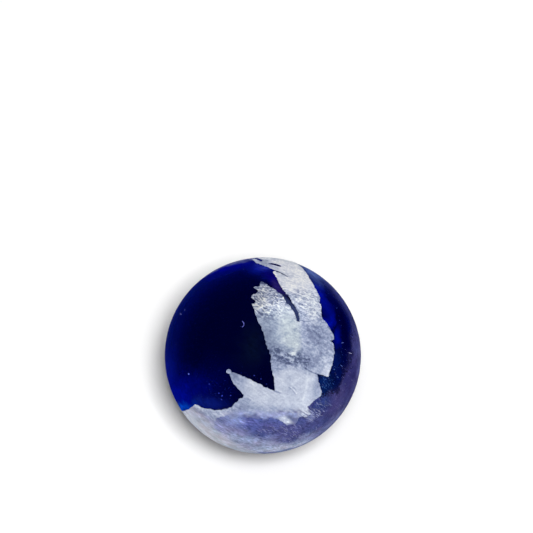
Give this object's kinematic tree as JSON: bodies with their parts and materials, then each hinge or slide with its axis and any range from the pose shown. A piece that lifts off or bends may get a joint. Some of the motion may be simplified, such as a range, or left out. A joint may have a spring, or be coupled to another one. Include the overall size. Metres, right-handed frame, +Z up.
{
  "type": "glass marble",
  "caption": "Round marble of deep cobalt blue glass with torn, crinkled silver leaf and a cloud of fine silver fused into its upper face.",
  "frame": {"origin": "centre of the ball", "axes": "+Z up, with the leafed face looking up and leaning 15 degrees towards -Y, and +X to its right"},
  "size_m": [0.022, 0.022, 0.022],
  "materials": {
    "cobalt_glass": "polished deep cobalt glass",
    "silver_leaf": "crinkled satin silver leaf under a thin clear skin",
    "silver_haze": "cobalt glass clouded with fine silver"
  },
  "bodies": {
    "root": {"glass_ball": "cobalt_glass", "silver_leaf": "silver_leaf", "silver_haze": "silver_haze"}
  },
  "joints": []
}
